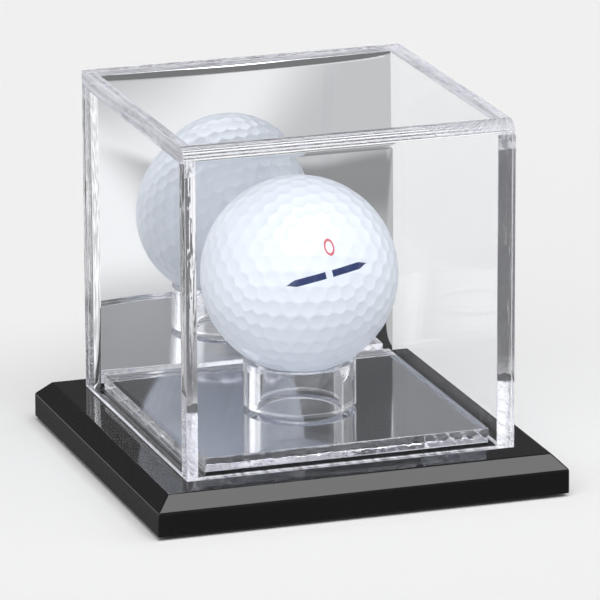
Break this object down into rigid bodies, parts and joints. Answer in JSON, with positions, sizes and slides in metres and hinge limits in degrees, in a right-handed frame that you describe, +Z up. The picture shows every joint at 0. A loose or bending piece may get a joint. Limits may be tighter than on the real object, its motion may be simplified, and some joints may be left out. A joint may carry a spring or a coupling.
{
  "type": "golf ball display case",
  "caption": "Clear lift-off cube cover with a mirrored back on a bevelled black base, with a golf ball in a clear ring on a mirrored floor inside.",
  "frame": {"origin": "middle of the base, on the surface that the feet stand on", "axes": "+Z up, -Y to the front, which faces away from the mirror, +X to the right seen from the front"},
  "size_m": [0.0916, 0.0916, 0.0811],
  "materials": {
    "clear_acrylic": "polished",
    "mirror_sheet": "polished",
    "black_base": "gloss",
    "ball_white": "gloss",
    "ball_core": "matte",
    "foot_pad": "matte"
  },
  "bodies": {
    "base": {"base_plate": "black_base", "foot_front_left": "foot_pad", "foot_front_right": "foot_pad", "foot_back_left": "foot_pad", "foot_back_right": "foot_pad", "floor_mirror": "mirror_sheet", "floor_plate": "clear_acrylic", "stand_ring": "clear_acrylic"},
    "cover": {"front_top_panel": "clear_acrylic", "left_panel": "clear_acrylic", "right_panel": "clear_acrylic", "back_panel": "clear_acrylic", "back_mirror": "mirror_sheet"},
    "ball": {"ball_cover": "ball_white", "ball_core": "ball_core"}
  },
  "joints": [
    {"name": "cover_lift", "type": "slide", "parent": "base", "child": "cover", "axis": [0, 0, 1], "range_m": [0, 0.065]},
    {"name": "ball_lift", "type": "slide", "parent": "base", "child": "ball", "axis": [0, 0, 1], "range_m": [0, 0.013]}
  ]
}
